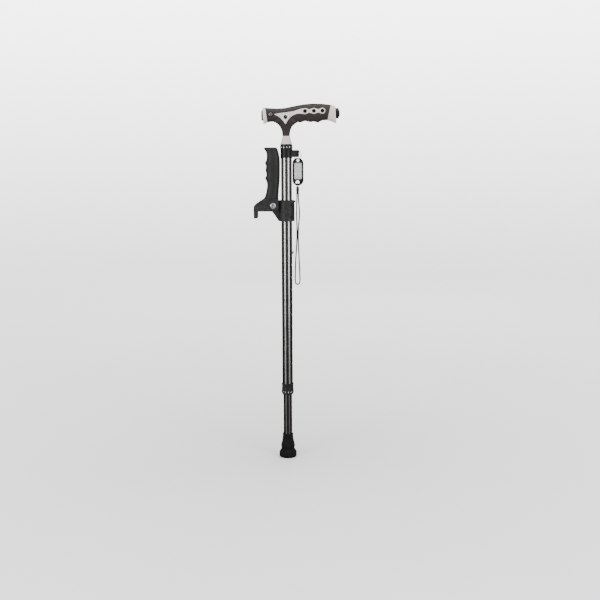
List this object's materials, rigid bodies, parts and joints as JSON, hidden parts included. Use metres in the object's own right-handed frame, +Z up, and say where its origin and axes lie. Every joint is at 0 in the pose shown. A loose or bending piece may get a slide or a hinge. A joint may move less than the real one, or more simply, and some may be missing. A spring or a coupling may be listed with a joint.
{
  "type": "walking cane",
  "caption": "Height-adjustable walking cane with a T grip holding a torch and an alarm, a second grip that folds out from a shaft clamp, a name tag, a wrist strap and a round rubber tip.",
  "frame": {"origin": "middle of the rubber tip's sole, on the shaft's axis, where the cane meets the floor", "axes": "+Z up along the shaft; +X towards the hand grip's alarm end, the name tag and the snap button; -X towards the torch end and the folding grip; -Y is the side with the torch's push button"},
  "size_m": [0.1701, 0.0375, 0.7167],
  "materials": {
    "rubber_black": "matte moulded rubber",
    "tube_dark": "gunmetal anodised, satin, bright along the lobes",
    "tube_light": "anodised, satin",
    "steel": "plain zinc-plated steel",
    "plastic_black": "moulded, satin",
    "plastic_charcoal": "moulded, fine texture",
    "nylon_white": "moulded nylon",
    "bright_studs": "polished",
    "trim_grey": "warm light grey, satin",
    "grip_brown": "dark brown, fine texture",
    "screw_dark": "blackened steel",
    "bezel": "black chrome",
    "lens": "clear",
    "reflector": "vacuum-plated",
    "board": "printed circuit board",
    "button_pink": "pale rose-grey, semi-gloss",
    "cells": "printed sleeve, no marks",
    "knob_black": "semi-gloss",
    "bronze": "sintered bush",
    "grip_soft": "soft-touch",
    "chrome": "polished",
    "ring_steel": "nickel-plated",
    "tag_black": "semi-gloss",
    "tag_paper": "plain pale grey card",
    "tag_clear": "clear plastic window",
    "cord_black": "braided polyester"
  },
  "bodies": {
    "lower_shaft": {"tip": "rubber_black", "tip_washer": "steel", "inner_tube": "tube_light", "inner_tube_cap": "plastic_black", "snap_spring": "steel"},
    "snap": {"snap_button": "chrome"},
    "upper_shaft": {"outer_tube": "tube_dark", "collet": "nylon_white", "upper_collar": "plastic_black", "upper_collar_studs": "bright_studs", "ring_pin": "screw_dark", "tube_pin": "steel", "handle_tang": "tube_light", "neck_ferrule": "trim_grey", "grip_shell_front": "grip_brown", "grip_shell_rear": "grip_brown", "inlay_front": "trim_grey", "inlay_rear": "trim_grey", "grip_screws": "screw_dark", "grip_screw_nuts": "screw_dark", "front_cap": "trim_grey", "rear_cap": "trim_grey", "torch_bezel": "bezel", "torch_lens": "lens", "torch_reflector": "reflector", "led_module": "board", "switch_board": "board", "torch_button_spring": "steel", "battery_holder": "plastic_black", "torch_batteries": "cells", "alarm_buzzer": "plastic_black", "alarm_board": "board", "alarm_spring": "steel", "clamp_bracket": "plastic_charcoal", "clamp_back": "plastic_charcoal", "clamp_screws": "screw_dark", "pivot_sleeve": "bronze"},
    "lock_ring": {"lock_collar": "plastic_black", "lock_collar_studs": "bright_studs"},
    "torch_switch": {"torch_button": "button_pink"},
    "alarm_knob": {"alarm_button": "knob_black"},
    "folding_grip": {"assist_core": "plastic_charcoal", "assist_grip": "grip_soft", "assist_grip_screw": "screw_dark", "pivot_bolt": "chrome", "pivot_nut": "chrome", "friction_washers": "steel"},
    "key_ring": {"split_ring": "ring_steel"},
    "name_tag": {"tag_frame": "tag_black", "tag_label": "tag_paper", "tag_window": "tag_clear"},
    "wrist_strap": {"strap_loop": "cord_black", "cord_sleeve": "plastic_black", "wrist_cord": "cord_black"}
  },
  "joints": [
    {"name": "height_slide", "type": "slide", "parent": "lower_shaft", "child": "upper_shaft", "axis": [0, 0, 1], "range_m": [0, 0.2286], "deforming": ["snap_button"]},
    {"name": "snap_press", "type": "slide", "parent": "lower_shaft", "child": "snap", "axis": [-1, 0, 0], "range_m": [0, 0.0049], "stiffness_N_per_m": 2500, "springref_m": -0.002, "deforming": ["snap_spring"]},
    {"name": "lock_collar_turn", "type": "hinge", "parent": "upper_shaft", "child": "lock_ring", "pos_m": [0, 0, 0.145], "axis": [0, 0, 1], "range_deg": [0, 120]},
    {"name": "torch_press", "type": "slide", "parent": "upper_shaft", "child": "torch_switch", "axis": [0, 1, 0], "range_m": [0, 0.0012], "stiffness_N_per_m": 2000, "springref_m": -0.0008, "deforming": ["torch_button_spring"]},
    {"name": "alarm_press", "type": "slide", "parent": "upper_shaft", "child": "alarm_knob", "axis": [-1, 0, 0], "range_m": [0, 0.0022], "stiffness_N_per_m": 1500, "springref_m": -0.0015, "deforming": ["alarm_spring"]},
    {"name": "folding_grip_turn", "type": "hinge", "parent": "upper_shaft", "child": "folding_grip", "pos_m": [-0.0265, 0, 0.5186], "axis": [0, -1, 0], "range_deg": [0, 90]},
    {"name": "key_ring_swing", "type": "hinge", "parent": "upper_shaft", "child": "key_ring", "pos_m": [0.0214, 0, 0.6246], "axis": [0, -1, 0], "range_deg": [0, 45]},
    {"name": "name_tag_swing", "type": "hinge", "parent": "key_ring", "child": "name_tag", "pos_m": [0.0227, 0, 0.6082], "axis": [0, -1, 0], "range_deg": [0, 30]},
    {"name": "wrist_strap_swing", "type": "hinge", "parent": "name_tag", "child": "wrist_strap", "pos_m": [0.0219, 0, 0.5628], "axis": [0, -1, 0], "range_deg": [0, 30]}
  ]
}
